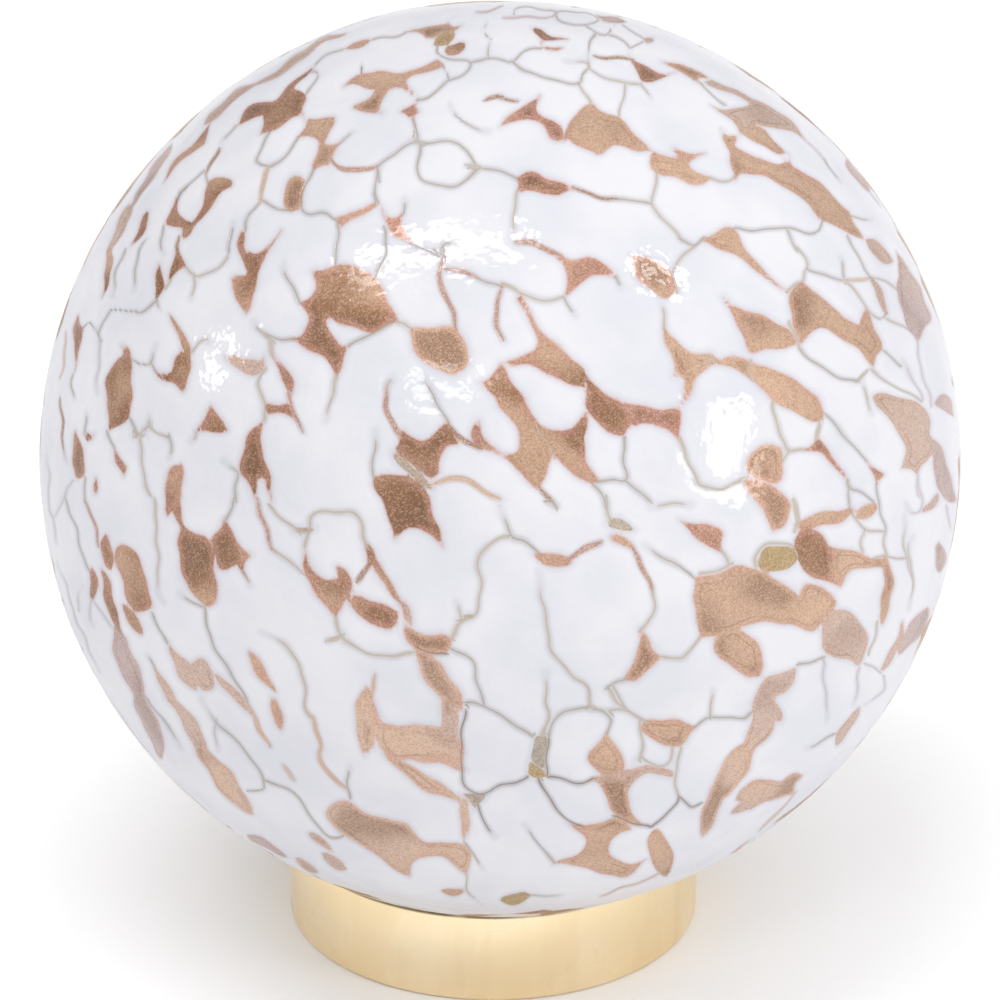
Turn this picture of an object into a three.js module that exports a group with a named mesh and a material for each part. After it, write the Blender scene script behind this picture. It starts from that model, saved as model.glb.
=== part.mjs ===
// Light-up glass ball: a hand-blown mottled glass globe seated on a low brass base.
// Millimetres, +Z up. The origin is the centre of the base's underside.

import * as THREE from 'three';

// Driving dimensions of the globe
const GLOBE_RADIUS = 75;         // half its width at the equator
const GLOBE_HALF_HEIGHT = 74.5;  // blown glass, a touch flatter than a true ball
const GLASS_WALL = 3;
const GLOBE_OFF_CENTRE = 1.1;    // the globe sits this far to the right of the base's axis
const NECK_RADIUS = 31.5;        // the short neck that drops into the base
const NECK_DEPTH = 6;            // how far the neck reaches below the base's rim

// Driving dimensions of the base
const BASE_RADIUS = 34.4;
const BASE_HEIGHT = 16;
const BASE_WALL = 1.4;
const BASE_FLOOR = 2;
const RIM_ROUND_OUTSIDE = 0.8;
const RIM_ROUND_INSIDE = 0.4;
const FOOT_ROUND = 0.6;

// How the two sit together
const RIM_TO_CENTRE = 66;  // the globe's centre above the base's rim
const SEAT_GAP = 0.3;      // the glue line between the globe's ground seat and the rim

// Facets
const SIDES = 64;
const OUTER_STEPS = 32;
const INNER_STEPS = 14;
const ROUND_STEPS = 3;

const QUARTER = Math.PI / 2;

// Points along part of an ellipse, with angles counted from the horizontal
function arc(centreX, centreY, radiusX, radiusY, from, to, steps) {
  const clockwise = to < from;
  const curve = new THREE.EllipseCurve(centreX, centreY, radiusX, radiusY, from, to, clockwise);
  return curve.getPoints(steps);
}

// Turns a profile of (radius, height) points about the Z axis
function turned(profile) {
  const solid = new THREE.LatheGeometry(profile, SIDES);
  solid.rotateX(QUARTER);
  return solid;
}

// One wall all round: down the inside, down and up the short neck, out across the ground seat, up the outside
function globeGeometry() {
  const seatDepth = RIM_TO_CENTRE - SEAT_GAP;
  const seatAngle = -Math.asin(seatDepth / GLOBE_HALF_HEIGHT);
  const neckBottom = -RIM_TO_CENTRE - NECK_DEPTH;
  const mouthRadius = NECK_RADIUS - GLASS_WALL;
  const innerRadius = GLOBE_RADIUS - GLASS_WALL;
  const innerHalfHeight = GLOBE_HALF_HEIGHT - GLASS_WALL;
  const mouthAngle = -Math.acos(mouthRadius / innerRadius);

  const inside = arc(0, 0, innerRadius, innerHalfHeight, QUARTER, mouthAngle, INNER_STEPS);
  const neck = [
    new THREE.Vector2(mouthRadius, neckBottom),
    new THREE.Vector2(NECK_RADIUS, neckBottom),
    new THREE.Vector2(NECK_RADIUS, -seatDepth),
  ];
  const outside = arc(0, 0, GLOBE_RADIUS, GLOBE_HALF_HEIGHT, seatAngle, QUARTER, OUTER_STEPS);
  inside[0].x = 0;
  outside[OUTER_STEPS].x = 0;
  return turned([...inside, ...neck, ...outside]);
}

// A spun cup: flat underside, straight wall, rounded rim and an open hollow above the floor
function baseGeometry() {
  const footRadius = BASE_RADIUS - FOOT_ROUND;
  const rimOutside = BASE_RADIUS - RIM_ROUND_OUTSIDE;
  const bore = BASE_RADIUS - BASE_WALL;
  const rimInside = bore + RIM_ROUND_INSIDE;

  const foot = arc(footRadius, FOOT_ROUND, FOOT_ROUND, FOOT_ROUND, -QUARTER, 0, ROUND_STEPS);
  const rimOut = arc(
    rimOutside, BASE_HEIGHT - RIM_ROUND_OUTSIDE, RIM_ROUND_OUTSIDE, RIM_ROUND_OUTSIDE, 0, QUARTER, ROUND_STEPS);
  const rimIn = arc(
    rimInside, BASE_HEIGHT - RIM_ROUND_INSIDE, RIM_ROUND_INSIDE, RIM_ROUND_INSIDE, QUARTER, Math.PI, ROUND_STEPS);
  return turned([
    new THREE.Vector2(0, 0),
    ...foot,
    ...rimOut,
    ...rimIn,
    new THREE.Vector2(bore, BASE_FLOOR),
    new THREE.Vector2(0, BASE_FLOOR),
  ]);
}

const mottledGlass = new THREE.MeshStandardMaterial({ color: '#e9e6ea', roughness: 0.12, metalness: 0 });
const brass = new THREE.MeshStandardMaterial({ color: '#d9bd86', roughness: 0.28, metalness: 1 });

const globe = new THREE.Mesh(globeGeometry(), mottledGlass);
globe.name = 'glass_globe';
globe.position.set(GLOBE_OFF_CENTRE, 0, BASE_HEIGHT + RIM_TO_CENTRE);

const base = new THREE.Mesh(baseGeometry(), brass);
base.name = 'brass_base';

const ball = new THREE.Group();
ball.name = 'light_up_glass_ball';
ball.add(base, globe);

export default ball;
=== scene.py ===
import math

import bmesh
import bpy
import numpy as np
from mathutils import Matrix, Vector


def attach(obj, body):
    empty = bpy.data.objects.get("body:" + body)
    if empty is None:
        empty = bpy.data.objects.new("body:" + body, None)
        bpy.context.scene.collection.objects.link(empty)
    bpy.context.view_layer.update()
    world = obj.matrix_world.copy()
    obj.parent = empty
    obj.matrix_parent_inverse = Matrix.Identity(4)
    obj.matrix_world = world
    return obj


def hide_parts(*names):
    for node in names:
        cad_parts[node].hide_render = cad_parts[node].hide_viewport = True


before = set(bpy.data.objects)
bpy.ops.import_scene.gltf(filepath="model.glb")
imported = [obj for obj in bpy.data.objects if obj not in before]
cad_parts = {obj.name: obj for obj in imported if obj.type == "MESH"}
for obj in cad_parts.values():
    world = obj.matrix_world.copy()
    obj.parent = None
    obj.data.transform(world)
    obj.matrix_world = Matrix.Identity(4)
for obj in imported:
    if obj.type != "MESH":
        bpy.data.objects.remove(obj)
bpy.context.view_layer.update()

MM = 0.001
TURN = 2 * math.pi

# The globe and the base, as the solids have them, in millimetres
GLOBE_CENTRE = np.array([1.1, 0.0, 82.0])
GLOBE_HALF = np.array([75.0, 75.0, 74.5])
GLASS_WALL = 3.0
SEAT_HEIGHT = 16.3
NECK_RADIUS = 31.5
NECK_BOTTOM = 10.0
MOUTH_RADIUS = 28.5
BASE_RADIUS = 34.4
BASE_HEIGHT = 16.0
BASE_WALL = 1.4
BASE_FLOOR = 2.0

# The camera, as read from the ball's outline and the ring's edges
CAMERA_TILT = math.radians(24.5)
CAMERA_AWAY = 800.0
CAMERA_BELOW = 6.82
FOCAL_PIXELS = 4903.0
PICTURE = 1000.0
SENSOR = 36.0
VIEW_FORWARD = np.array([0.0, math.cos(CAMERA_TILT), -math.sin(CAMERA_TILT)])
VIEW_UP = np.array([0.0, math.sin(CAMERA_TILT), math.cos(CAMERA_TILT)])
CAMERA_PLACE = GLOBE_CENTRE - CAMERA_AWAY * VIEW_FORWARD - CAMERA_BELOW * VIEW_UP
PIXELS_PER_MM = FOCAL_PIXELS / CAMERA_AWAY


def linear(red, green, blue, extra=1.0):
    """An ordinary 0 to 255 colour as the linear colour that a shader takes, and a fourth number."""
    shares = np.array([red, green, blue]) / 255.0
    low = shares / 12.92
    high = ((shares + 0.055) / 1.055) ** 2.4
    return tuple(np.where(shares <= 0.04045, low, high)) + (extra,)


# Colours of the glass
OPAL = linear(213, 213, 217)
OPAL_SHADE = linear(204, 204, 211)
# Painted shade for the rounded edges of the white chips
CHIP_EDGE_PAINTED_SHADE = linear(184, 183, 192)
RIM_PINK = linear(198, 150, 140)
COPPER_DEEP = linear(118, 85, 63)
COPPER_RED = linear(186, 138, 124)
COPPER_GOLD = linear(203, 171, 145)
FLAKE_LIGHT = linear(220, 189, 165)
FLAKE_DARK = linear(106, 72, 50)

# Colours seen through the gaps; the fourth number is how much pink the gap's rim has
TINTS = {
    "brown": linear(138, 99, 72, 1.0),
    "tan": linear(185, 153, 130, 0.8),
    "pale": linear(189, 166, 155, 0.3),
    "peach": linear(196, 168, 150, 0.7),
    "mauve": linear(178, 160, 160, 0.4),
    "olive": linear(168, 147, 106, 0.1),
    "red": linear(160, 117, 100, 1.0),
    "beige": linear(176, 165, 150, 0.0),
    "grey": linear(160, 152, 142, 0.0),
    "lilac": linear(184, 174, 180, 0.0),
    "dark": linear(126, 112, 98, 0.0),
}

# The copper that shows between the white chips, drawn where the photograph has it.
# Each gap is its greatest width and the points its middle runs through, in pixels of the photograph.
GAPS = {
    "brown": [
        (6, 217, 149, 207, 171), (5, 178, 239, 177, 252), (7, 243, 231, 240, 250, 247, 268),
        (5, 59, 398, 60, 420, 62, 448), (11, 104, 538, 108, 565), (8, 91, 572, 92, 600),
        (9, 101, 571, 117, 630), (9, 124, 607, 139, 633), (7, 371, 560, 386, 582, 400, 606),
        (8, 367, 546, 370, 566), (6, 370, 562, 357, 581), (8, 172, 497, 181, 525),
        (4, 500, 98, 517, 98), (6, 488, 98, 501, 96), (5, 596, 55, 614, 56, 634, 59),
        (4, 575, 187, 595, 194, 619, 200), (4, 541, 487, 547, 497, 553, 506),
        (6, 448, 426, 462, 438, 479, 447),
    ],
    "tan": [
        (9, 249, 655, 271, 690), (10, 272, 703, 281, 727), (5, 313, 718, 320, 752),
        (6, 318, 752, 326, 770, 345, 790), (6, 250, 710, 268, 745), (13, 538, 557, 566, 562),
        (8, 612, 538, 632, 547), (12, 862, 516, 874, 508), (13, 802, 524, 828, 519, 851, 511),
        (10, 886, 560, 889, 590, 884, 622), (4, 374, 677, 372, 697), (9, 420, 847, 455, 848),
        (22, 658, 840, 664, 868), (7, 463, 892, 445, 892), (6, 430, 484, 455, 479, 478, 486, 499, 499),
        (6, 270, 167, 263, 180, 259, 200),
    ],
    "red": [
        (6, 566, 560, 600, 541), (5, 632, 547, 643, 567, 653, 595), (4, 257, 500, 265, 532, 272, 550),
        (4, 84, 500, 91, 520, 98, 545), (6, 330, 157, 338, 165, 352, 170, 366, 169, 378, 166),
        (6, 517, 240, 540, 246, 562, 255), (5, 440, 260, 441, 285, 449, 305, 457, 328),
        (4, 445, 270, 460, 269, 476, 275), (4, 500, 288, 497, 305, 497, 320, 502, 340),
        (6, 385, 390, 387, 410, 394, 428, 403, 441), (4, 287, 394, 289, 404, 293, 417, 303, 431),
    ],
    "pale": [
        (9, 217, 677, 250, 712), (8, 155, 673, 181, 716), (15, 178, 708, 203, 750),
        (7, 884, 671, 899, 645, 903, 625), (9, 859, 711, 838, 744), (8, 312, 836, 328, 850),
        (11, 324, 858, 343, 867), (7, 296, 860, 316, 874), (6, 284, 768, 294, 781),
        (8, 400, 602, 412, 626), (18, 447, 700, 453, 740), (5, 664, 870, 635, 885, 602, 896),
        (6, 760, 832, 796, 795), (10, 737, 812, 762, 799), (9, 250, 84, 228, 99, 206, 123),
        (7, 250, 84, 278, 71, 300, 54, 318, 42, 346, 32), (5, 66, 333, 63, 355, 59, 377),
        (5, 843, 280, 857, 281, 873, 275), (7, 873, 276, 879, 290, 888, 313),
    ],
    "mauve": [
        (20, 116, 636, 137, 692), (16, 136, 690, 160, 752), (11, 941, 548, 941, 570),
        (14, 905, 650, 926, 612), (7, 938, 495, 932, 504, 923, 511), (8, 250, 837, 282, 856),
        (8, 170, 145, 150, 172, 133, 203), (5, 503, 16, 525, 16, 549, 14), (6, 477, 11, 500, 5),
        (7, 849, 159, 857, 175, 869, 190),
    ],
    "peach": [
        (22, 421, 656, 456, 703), (22, 366, 698, 366, 744), (18, 198, 748, 247, 810),
        (13, 390, 760, 425, 783, 456, 800), (9, 462, 800, 466, 838), (8, 406, 757, 440, 762, 463, 770),
        (25, 748, 752, 722, 790), (16, 718, 788, 706, 832), (22, 745, 798, 778, 788),
        (12, 778, 790, 797, 779),
    ],
    "olive": [(11, 505, 901, 526, 899), (12, 437, 42, 450, 33)],
    "beige": [
        (12, 612, 524, 628, 528), (7, 293, 530, 311, 530), (6, 328, 640, 341, 636),
        (7, 460, 620, 473, 616), (6, 793, 500, 800, 518, 795, 530), (8, 394, 454, 412, 473, 431, 487),
        (5, 470, 166, 482, 165), (6, 414, 141, 424, 141), (12, 700, 360, 714, 360),
        (5, 136, 437, 143, 437), (5, 264, 336, 272, 342), (5, 269, 340, 271, 356),
        (5, 503, 285, 512, 287), (5, 708, 81, 719, 81), (6, 819, 424, 818, 438),
        (5, 860, 380, 868, 371),
    ],
}

# Copper chips with round ends: width, then the two ends of the middle
CHIPS = {
    "tan": [(19, 294, 184, 292, 201), (34, 732, 645, 746, 655)],
    "brown": [(23, 124, 558, 140, 602), (20, 360, 606, 388, 620), (11, 451, 48, 460, 45)],
    "pale": [(17, 197, 668, 207, 684)],
    "olive": [(25, 770, 560, 785, 559)],
}

# Larger gaps drawn round their corners
SHAPES = {
    "brown": [
        (209, 124, 208, 134, 204, 146, 193, 148, 181, 155, 172, 168, 162, 182, 168, 166, 177, 152, 188,
         145, 200, 138),
        (207, 187, 208, 181, 216, 177, 226, 177, 233, 181, 232, 187, 222, 190, 213, 200, 205, 211, 198,
         220, 190, 224, 196, 212, 202, 200),
        (163, 222, 168, 212, 175, 200, 179, 196, 174, 208, 176, 215, 184, 220, 194, 221, 188, 236, 183,
         239, 179, 234, 182, 228, 172, 228),
        (147, 209, 148, 215, 140, 238, 130, 246, 135, 232, 142, 215),
        (250, 103, 262, 101, 275, 100, 285, 88, 292, 82, 303, 70, 313, 62, 306, 72, 296, 84, 294, 90,
         305, 91, 307, 98, 302, 106, 303, 115, 290, 118, 278, 124, 268, 131, 259, 135, 262, 125, 264,
         115, 255, 117, 238, 125, 245, 112),
        (281, 229, 272, 243, 262, 256, 259, 275, 254, 292, 248, 309, 243, 313, 237, 302, 232, 288, 232,
         276, 240, 277, 249, 275, 243, 262, 243, 248, 254, 254, 266, 247),
        (105, 248, 113, 252, 112, 268, 107, 283, 100, 298, 103, 280, 106, 268),
        (178, 248, 181, 260, 184, 266, 175, 270, 166, 280, 168, 268, 172, 258),
        (158, 261, 161, 275, 162, 287, 156, 301, 153, 290, 152, 280),
        (76, 311, 80, 325, 85, 325, 80, 340, 76, 355, 72, 375, 74, 350, 72, 335),
        (168, 314, 172, 318, 180, 330, 190, 345, 194, 349, 190, 352, 183, 350, 177, 338, 171, 325),
        (180, 353, 187, 350, 192, 353, 190, 365, 186, 378, 184, 388, 180, 394, 176, 388, 172, 384, 160,
         379, 154, 368, 162, 373, 168, 375, 172, 372, 174, 362),
        (119, 345, 128, 347, 131, 358, 132, 372, 130, 400, 129, 418, 122, 424, 109, 430, 107, 415, 105,
         395, 106, 375, 115, 362, 124, 355),
        (112, 446, 116, 455, 122, 462, 126, 465, 122, 476, 118, 468, 113, 463),
        (74, 429, 80, 440, 83, 455, 82, 475, 76, 478, 71, 476, 71, 455, 73, 440),
        (84, 432, 91, 437, 96, 433, 92, 442, 87, 443), (93, 477, 97, 484, 99, 490, 95, 495, 93, 487),
        (212, 404, 218, 415, 226, 431, 210, 431, 194, 432, 203, 420),
        (260, 421, 250, 428, 245, 440, 243, 458, 236, 473, 246, 481, 252, 490, 255, 501, 257, 490, 255,
         481, 262, 478, 268, 492, 272, 503, 271, 485, 266, 468, 261, 448),
        (168, 470, 172, 466, 182, 463, 184, 467, 181, 485, 178, 502, 173, 510, 168, 518, 162, 510, 164,
         492),
        (182, 525, 196, 533, 208, 537, 214, 560, 218, 599, 204, 609, 194, 598, 181, 576, 175, 550),
        (226, 518, 231, 535, 240, 548, 251, 553, 244, 563, 246, 579, 238, 566, 225, 573, 215, 563, 209,
         537, 219, 531),
        (305, 543, 306, 560, 315, 575, 325, 583, 337, 579, 335, 566, 346, 570, 353, 585, 351, 598, 340,
         608, 334, 619, 325, 605, 310, 585, 301, 570),
        (373, 476, 390, 473, 408, 478, 420, 484, 428, 492, 431, 503, 437, 525, 443, 548, 428, 533, 405,
         527, 394, 538, 390, 518, 380, 500, 373, 488),
        (802, 525, 816, 530, 831, 548, 836, 570, 834, 585, 815, 578, 800, 563, 792, 545),
        (533, 27, 542, 25, 548, 30, 551, 34, 568, 38, 553, 38, 543, 37, 538, 33),
        (540, 37, 542, 43, 550, 45, 562, 46, 557, 49, 548, 47, 541, 46),
        (632, 58, 645, 65, 656, 71, 673, 72, 660, 75, 652, 82, 641, 83, 637, 72),
        (514, 178, 525, 171, 535, 169, 545, 176, 560, 182, 577, 188, 570, 190, 560, 196, 550, 191, 535,
         190, 519, 192, 518, 185),
        (313, 269, 325, 270, 336, 264, 350, 266, 369, 270, 376, 280, 384, 290, 391, 306, 397, 321, 388,
         322, 378, 330, 370, 334, 355, 329, 340, 322, 329, 315, 326, 322, 330, 332, 338, 345, 348, 344,
         345, 352, 342, 365, 337, 377, 332, 368, 325, 358, 310, 352, 290, 338, 300, 337, 308, 327, 311,
         318, 299, 304, 310, 298, 315, 285),
        (400, 429, 410, 437, 420, 440, 432, 437, 440, 428, 446, 422, 452, 432, 460, 443, 450, 446, 445,
         450, 440, 462, 437, 475, 428, 478, 420, 470, 408, 462, 400, 455, 391, 452, 398, 445),
        (500, 362, 506, 368, 515, 385, 522, 398, 530, 412, 540, 425, 548, 436, 552, 448, 553, 456, 548,
         470, 545, 480, 538, 488, 530, 482, 520, 472, 510, 462, 498, 456, 510, 455, 518, 448, 520, 438,
         522, 430, 512, 418, 498, 408, 494, 396, 482, 384, 492, 378),
        (540, 425, 550, 430, 560, 431, 572, 427, 582, 418, 589, 413, 587, 430, 583, 440, 585, 455, 592,
         470, 599, 481, 592, 485, 580, 477, 570, 470, 558, 460, 553, 456, 548, 440),
        (587, 378, 600, 388, 615, 398, 626, 403, 632, 415, 628, 425, 624, 436, 612, 434, 600, 426, 590,
         415, 585, 400),
        (520, 293, 527, 302, 534, 318, 542, 332, 552, 342, 565, 352, 578, 363, 587, 373, 584, 388, 572,
         386, 558, 378, 545, 370, 530, 365, 512, 366, 506, 361, 520, 358, 532, 353, 537, 345, 535, 330,
         527, 312, 516, 296),
    ],
    "red": [
        (680, 521, 700, 523, 724, 530, 725, 537, 722, 553, 710, 546, 695, 535),
        (417, 97, 415, 106, 421, 109, 414, 115, 415, 127, 410, 116, 400, 111, 408, 107, 413, 104),
        (376, 203, 382, 213, 388, 218, 396, 216, 402, 210, 400, 220, 404, 228, 415, 244, 406, 238, 398,
         236, 392, 234, 387, 226),
        (542, 249, 552, 251, 562, 256, 575, 259, 590, 258, 602, 262, 612, 270, 618, 277, 605, 274, 590,
         277, 575, 285, 566, 298, 566, 285, 567, 272, 562, 262, 552, 254),
        (269, 352, 278, 362, 288, 372, 296, 380, 293, 390, 288, 398, 286, 385, 280, 375, 273, 362),
        (264, 402, 275, 406, 287, 404, 290, 412, 294, 422, 280, 412, 270, 413, 265, 414),
        (472, 425, 478, 421, 482, 432, 490, 445, 502, 458, 488, 450, 477, 446, 472, 438),
        (819, 436, 826, 444, 833, 453, 840, 465, 848, 482, 838, 470, 830, 458, 822, 450, 805, 451, 815,
         443), (867, 459, 875, 468, 885, 474, 880, 479, 879, 486, 875, 476, 870, 468),
        (626, 403, 640, 406, 655, 408, 672, 408, 681, 410, 680, 425, 683, 443, 676, 434, 668, 427, 655,
         424, 640, 425, 628, 427, 632, 415),
        (498, 127, 507, 115, 520, 105, 533, 100, 541, 94, 534, 106, 540, 115, 556, 122, 566, 131, 566,
         141, 556, 142, 548, 131, 541, 120, 520, 116, 508, 121),
    ],
    "tan": [
        (566, 130, 570, 118, 580, 108, 590, 102, 600, 110, 612, 114, 622, 115, 630, 127, 640, 138, 651,
         151, 638, 150, 625, 145, 610, 145, 600, 155, 590, 150, 580, 145, 570, 138),
        (343, 48, 352, 41, 365, 38, 370, 39, 362, 45, 352, 48),
        (402, 31, 420, 29, 428, 25, 440, 24, 447, 20, 449, 24, 462, 24, 453, 28, 452, 32, 446, 30, 440,
         33, 432, 38, 424, 38, 420, 32),
        (361, 70, 378, 71, 395, 73, 415, 68, 430, 63, 441, 59, 444, 66, 438, 70, 425, 71, 410, 74, 405,
         80, 410, 88, 417, 99, 408, 92, 400, 86, 392, 87, 386, 92, 380, 100, 378, 108, 383, 113, 370,
         110, 352, 110, 351, 107, 360, 100, 370, 94, 375, 88, 365, 85, 355, 82, 344, 87, 352, 78),
        (303, 117, 315, 118, 322, 116, 333, 115, 333, 121, 329, 128, 328, 135, 325, 143, 332, 143, 342,
         140, 334, 148, 331, 157, 329, 164, 322, 166, 312, 170, 312, 165, 316, 157, 319, 147, 320, 140,
         313, 136, 305, 135, 296, 139, 301, 131, 304, 125),
        (335, 217, 345, 213, 360, 208, 374, 202, 378, 205, 372, 209, 360, 214, 348, 219, 338, 228),
        (662, 58, 675, 64, 690, 67, 705, 74, 710, 77, 698, 77, 702, 83, 690, 77, 676, 71),
        (721, 126, 728, 134, 741, 134, 736, 145, 745, 150, 757, 158, 770, 163, 785, 162, 788, 154, 792,
         164, 805, 171, 818, 180, 830, 192, 842, 205, 852, 210, 856, 222, 864, 237, 852, 235, 840, 226,
         825, 222, 815, 212, 805, 198, 790, 187, 770, 178, 752, 172, 740, 170, 735, 180, 733, 170, 730,
         160, 731, 150, 727, 140),
        (651, 151, 660, 154, 675, 158, 683, 158, 675, 152, 673, 147, 685, 150, 707, 154, 692, 157, 690,
         163, 695, 170, 709, 178, 705, 184, 690, 182, 672, 177, 657, 174, 652, 165),
        (750, 124, 765, 127, 775, 138, 785, 150, 778, 153, 765, 147, 748, 135, 742, 128),
        (700, 239, 712, 233, 724, 225, 735, 230, 745, 245, 758, 262, 770, 275, 791, 291, 778, 284, 762,
         275, 745, 260, 730, 251, 715, 244),
        (409, 330, 420, 327, 440, 326, 456, 325, 462, 335, 468, 352, 468, 365, 460, 372, 445, 373, 430,
         367, 420, 360, 413, 348),
        (666, 322, 670, 335, 680, 345, 692, 352, 712, 354, 713, 366, 699, 374, 695, 385, 690, 396, 680,
         408, 685, 392, 688, 380, 682, 376, 676, 378, 674, 365, 670, 350, 664, 345),
        (630, 255, 640, 257, 655, 261, 668, 266, 675, 272, 676, 285, 672, 295, 665, 299, 655, 294, 645,
         286, 637, 276),
        (723, 294, 735, 305, 750, 311, 762, 315, 776, 322, 788, 325, 795, 335, 799, 343, 785, 348, 765,
         351, 752, 353, 744, 340, 737, 320, 730, 306),
        (793, 290, 804, 281, 810, 286, 820, 293, 835, 307, 848, 320, 862, 327, 862, 318, 866, 307, 872,
         315, 880, 335, 884, 350, 877, 355, 874, 368, 868, 362, 862, 350, 850, 343, 838, 332, 825, 327,
         812, 332, 803, 343, 798, 335, 792, 322, 791, 305),
        (753, 360, 765, 368, 785, 374, 800, 382, 815, 392, 822, 400, 826, 412, 822, 420, 815, 421, 800,
         415, 785, 407, 772, 400, 760, 388, 753, 378),
        (712, 365, 725, 358, 738, 356, 753, 358, 752, 377, 738, 370, 725, 365),
        (748, 457, 758, 447, 770, 443, 780, 445, 785, 455, 785, 470, 780, 482, 770, 484, 758, 480, 748,
         473),
        (746, 478, 765, 484, 778, 487, 788, 498, 793, 510, 788, 525, 773, 533, 768, 516, 755, 502, 748,
         490),
        (694, 578, 725, 572, 738, 566, 758, 567, 778, 580, 800, 598, 805, 582, 815, 583, 836, 598, 838,
         606, 828, 618, 815, 635, 795, 626, 770, 620, 742, 628, 715, 637, 699, 640, 696, 610),
        (713, 641, 737, 630, 752, 637, 763, 655, 761, 678, 745, 676, 728, 665),
        (831, 548, 860, 550, 873, 560, 888, 561, 884, 570, 870, 566, 850, 570, 840, 588, 834, 586),
        (641, 629, 648, 641, 652, 652, 662, 658, 650, 671, 637, 682, 626, 681, 632, 665, 638, 648),
        (644, 721, 655, 719, 680, 722, 698, 727, 690, 735, 680, 750, 671, 748, 650, 738, 642, 731),
        (405, 627, 420, 634, 449, 636, 451, 646, 446, 656, 430, 652, 412, 650, 404, 640),
        (608, 731, 615, 745, 624, 757, 624, 770, 612, 778, 600, 776, 590, 768, 588, 758, 597, 747),
        (597, 780, 622, 777, 632, 780, 628, 795, 632, 815, 642, 826, 625, 822, 612, 815, 607, 796),
        (566, 824, 588, 826, 605, 823, 617, 818, 632, 828, 616, 838, 608, 849, 612, 860, 628, 867, 645,
         860, 632, 874, 621, 882, 608, 875, 590, 870, 574, 867, 554, 865, 575, 859, 585, 849, 588, 838),
    ],
    "pale": [
        (586, 783, 600, 776, 618, 771, 640, 768, 660, 766, 674, 770, 676, 778, 660, 774, 645, 776, 634,
         782, 628, 795, 622, 780, 605, 785),
        (132, 203, 133, 212, 124, 226, 115, 243, 107, 252, 107, 243, 112, 230, 118, 220, 125, 205),
        (708, 84, 710, 78, 718, 78, 735, 88, 752, 98, 775, 106, 790, 116, 800, 130, 808, 142, 795, 131,
         780, 125, 766, 127, 755, 123, 750, 135, 742, 133, 735, 122, 725, 112, 711, 104, 725, 107, 742,
         108, 750, 103, 738, 96, 722, 86),
        (224, 358, 232, 353, 240, 358, 250, 356, 258, 362, 264, 357, 261, 372, 255, 375, 240, 371, 230,
         367),
        (873, 395, 885, 394, 900, 396, 915, 400, 928, 408, 933, 420, 932, 435, 936, 447, 930, 458, 922,
         465, 919, 476, 912, 470, 902, 470, 906, 455, 905, 440, 898, 428, 885, 415, 876, 405),
        (866, 237, 872, 236, 880, 243, 892, 255, 896, 262, 888, 266, 880, 260, 870, 247),
        (168, 641, 178, 655, 190, 662, 198, 691, 186, 684, 174, 676),
        (823, 627, 836, 608, 852, 613, 865, 625, 869, 642, 867, 657, 860, 669, 848, 659, 835, 657, 821,
         652),
        (758, 685, 780, 672, 797, 667, 797, 685, 776, 699, 783, 713, 781, 724, 774, 722, 776, 735, 752,
         752, 740, 768, 742, 750, 752, 720),
    ],
    "grey": [
        (533, 739, 540, 736, 548, 737, 547, 760, 546, 772, 540, 768, 532, 763, 532, 750),
        (463, 795, 476, 794, 489, 794, 478, 803, 473, 811, 468, 801),
    ],
    "olive": [(531, 763, 540, 768, 548, 777, 538, 781, 527, 777)],
    "mauve": [
        (898, 250, 908, 262, 920, 285, 928, 300, 935, 318, 927, 325, 922, 335, 917, 344, 910, 328, 905,
         312, 900, 298, 895, 285, 903, 275),
        (934, 405, 940, 395, 947, 394, 955, 400, 957, 416, 948, 412),
        (932, 435, 940, 445, 950, 465, 955, 485, 956, 502, 946, 503, 939, 485, 935, 462),
        (642, 37, 655, 36, 653, 41, 645, 43), (596, 12, 612, 15, 626, 22, 620, 25, 605, 20),
    ],
    "peach": [
        (376, 726, 405, 725, 436, 727, 458, 735, 464, 750, 462, 765, 440, 760, 412, 758, 395, 762, 376,
         748),
        (324, 815, 333, 800, 347, 803, 362, 813, 380, 818, 402, 823, 413, 836, 426, 845, 457, 843, 469,
         849, 471, 862, 466, 878, 456, 868, 445, 856, 425, 857, 412, 865, 409, 879, 394, 867, 374, 855,
         350, 842, 334, 827),
        (750, 780, 775, 781, 781, 790, 798, 777, 795, 796, 778, 796, 752, 812, 742, 800),
    ],
}

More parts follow.
